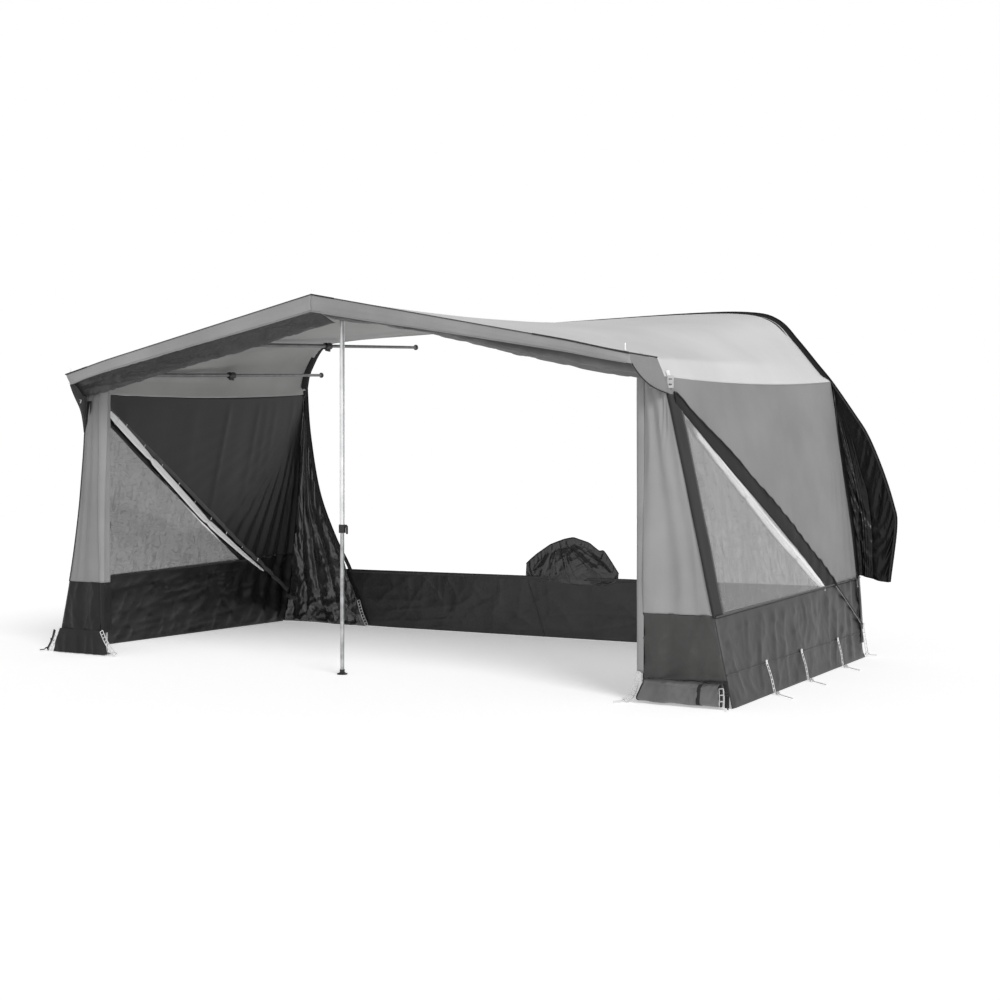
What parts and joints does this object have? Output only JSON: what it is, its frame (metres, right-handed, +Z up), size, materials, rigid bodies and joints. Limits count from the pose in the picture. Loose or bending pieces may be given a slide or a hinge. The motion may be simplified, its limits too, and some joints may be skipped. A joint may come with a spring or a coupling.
{
  "type": "caravan awning",
  "caption": "Open-fronted awning with a gabled canopy and leaning side walls, hung from a vehicle's awning rail and held up by telescopic poles.",
  "frame": {"origin": "middle of the footprint, on the ground", "axes": "+X along the rail, towards the right-hand wall seen from the open front; +Y from the open front to the rail; +Z up"},
  "size_m": [5.1278, 2.782, 2.3772],
  "materials": {
    "roof_cloth": "pale grey coated polyester, satin",
    "valance_cloth": "mid grey coated polyester, matt",
    "wall_cloth": "charcoal heathered polyester, matt",
    "band_cloth": "black woven polyester, matt",
    "mud_cloth": "black coated cloth, satin",
    "window_film": "clear tinted film, gloss",
    "coated_cloth": "black coated nylon, semi-gloss",
    "blind_cloth": "white cloth rolled up, matt",
    "beading_rubber": "black welted piping, matt",
    "steel_tube": "zinc-coated steel tube, satin",
    "clamp_plastic": "black moulded plastic"
  },
  "bodies": {
    "canopy": {"roof_left": "roof_cloth", "roof_right": "roof_cloth", "roof_side_left": "roof_cloth", "roof_side_right": "roof_cloth", "fascia_left": "valance_cloth", "fascia_right": "valance_cloth", "soffit_left": "valance_cloth", "soffit_right": "valance_cloth", "canopy_end_left": "valance_cloth", "canopy_end_right": "valance_cloth", "leg_panel_left": "wall_cloth", "leg_panel_right": "wall_cloth", "side_wall_left": "wall_cloth", "side_wall_right": "wall_cloth", "wall_front_band_left": "band_cloth", "wall_front_band_right": "band_cloth", "zip_flap_left": "band_cloth", "zip_flap_right": "band_cloth", "leg_mud_panel_left": "mud_cloth", "leg_mud_panel_right": "mud_cloth", "ground_flap_roll_left": "mud_cloth", "ground_flap_roll_right": "mud_cloth", "wall_mud_panel_left": "mud_cloth", "wall_mud_panel_right": "mud_cloth", "side_window_left": "window_film", "side_window_right": "window_film", "rear_flap_left": "coated_cloth", "rear_flap_right": "coated_cloth", "draught_skirt": "coated_cloth", "wheel_cover": "coated_cloth", "blind_roll_left": "blind_cloth", "blind_roll_right": "blind_cloth", "rail_beading": "beading_rubber", "roof_pole_left_edge_front_tube": "steel_tube", "roof_pole_left_mid_front_tube": "steel_tube", "roof_pole_centre_front_tube": "steel_tube", "roof_pole_right_mid_front_tube": "steel_tube", "roof_pole_right_edge_front_tube": "steel_tube", "front_beam_left": "steel_tube", "front_beam_right": "steel_tube", "peak_bracket": "clamp_plastic", "centre_upright_upper_tube": "steel_tube", "centre_upright_clamp": "clamp_plastic", "left_upright_upper_tube": "steel_tube", "left_upright_clamp": "clamp_plastic", "right_upright_upper_tube": "steel_tube", "right_upright_clamp": "clamp_plastic"},
    "centre_upright_leg": {"centre_upright_lower_tube": "steel_tube", "centre_upright_foot": "clamp_plastic"},
    "centre_upright_lever": {"centre_upright_clamp_lever": "clamp_plastic"},
    "left_upright_leg": {"left_upright_lower_tube": "steel_tube"},
    "left_upright_lever": {"left_upright_clamp_lever": "clamp_plastic"},
    "right_upright_leg": {"right_upright_lower_tube": "steel_tube"},
    "right_upright_lever": {"right_upright_clamp_lever": "clamp_plastic"},
    "roof_pole_left_edge_extension": {"roof_pole_left_edge_rear_tube": "steel_tube"},
    "roof_pole_left_mid_extension": {"roof_pole_left_mid_rear_tube": "steel_tube"},
    "roof_pole_centre_extension": {"roof_pole_centre_rear_tube": "steel_tube"},
    "roof_pole_right_mid_extension": {"roof_pole_right_mid_rear_tube": "steel_tube"},
    "roof_pole_right_edge_extension": {"roof_pole_right_edge_rear_tube": "steel_tube"}
  },
  "joints": [
    {"name": "centre_upright_height", "type": "slide", "parent": "canopy", "child": "centre_upright_leg", "axis": [0, 0, 1], "range_m": [0, 0.4]},
    {"name": "centre_clamp_release", "type": "hinge", "parent": "canopy", "child": "centre_upright_lever", "pos_m": [-0.10658, -1.089, 0.8927], "axis": [0, -1, 0], "range_deg": [0, 90]},
    {"name": "left_upright_height", "type": "slide", "parent": "canopy", "child": "left_upright_leg", "axis": [0, 0, 1], "range_m": [0, 0.4]},
    {"name": "left_clamp_release", "type": "hinge", "parent": "canopy", "child": "left_upright_lever", "pos_m": [-2.12018, -1.0537, 0.8927], "axis": [1, 0, 0], "range_deg": [0, 90]},
    {"name": "right_upright_height", "type": "slide", "parent": "canopy", "child": "right_upright_leg", "axis": [0, 0, 1], "range_m": [0, 0.4]},
    {"name": "right_clamp_release", "type": "hinge", "parent": "canopy", "child": "right_upright_lever", "pos_m": [1.83176, -1.0537, 0.8927], "axis": [1, 0, 0], "range_deg": [0, 90]},
    {"name": "roof_pole_left_edge_length", "type": "slide", "parent": "canopy", "child": "roof_pole_left_edge_extension", "axis": [0.0309, -0.9967, -0.075], "range_m": [0, 0.5]},
    {"name": "roof_pole_left_mid_length", "type": "slide", "parent": "canopy", "child": "roof_pole_left_mid_extension", "axis": [0.0025, -0.9965, -0.0834], "range_m": [0, 0.5]},
    {"name": "roof_pole_centre_length", "type": "slide", "parent": "canopy", "child": "roof_pole_centre_extension", "axis": [0, -0.9999, -0.0117], "range_m": [0, 0.5]},
    {"name": "roof_pole_right_mid_length", "type": "slide", "parent": "canopy", "child": "roof_pole_right_mid_extension", "axis": [-0.0025, -0.9953, -0.0966], "range_m": [0, 0.5]},
    {"name": "roof_pole_right_edge_length", "type": "slide", "parent": "canopy", "child": "roof_pole_right_edge_extension", "axis": [-0.0136, -0.9976, -0.0674], "range_m": [0, 0.5]}
  ]
}
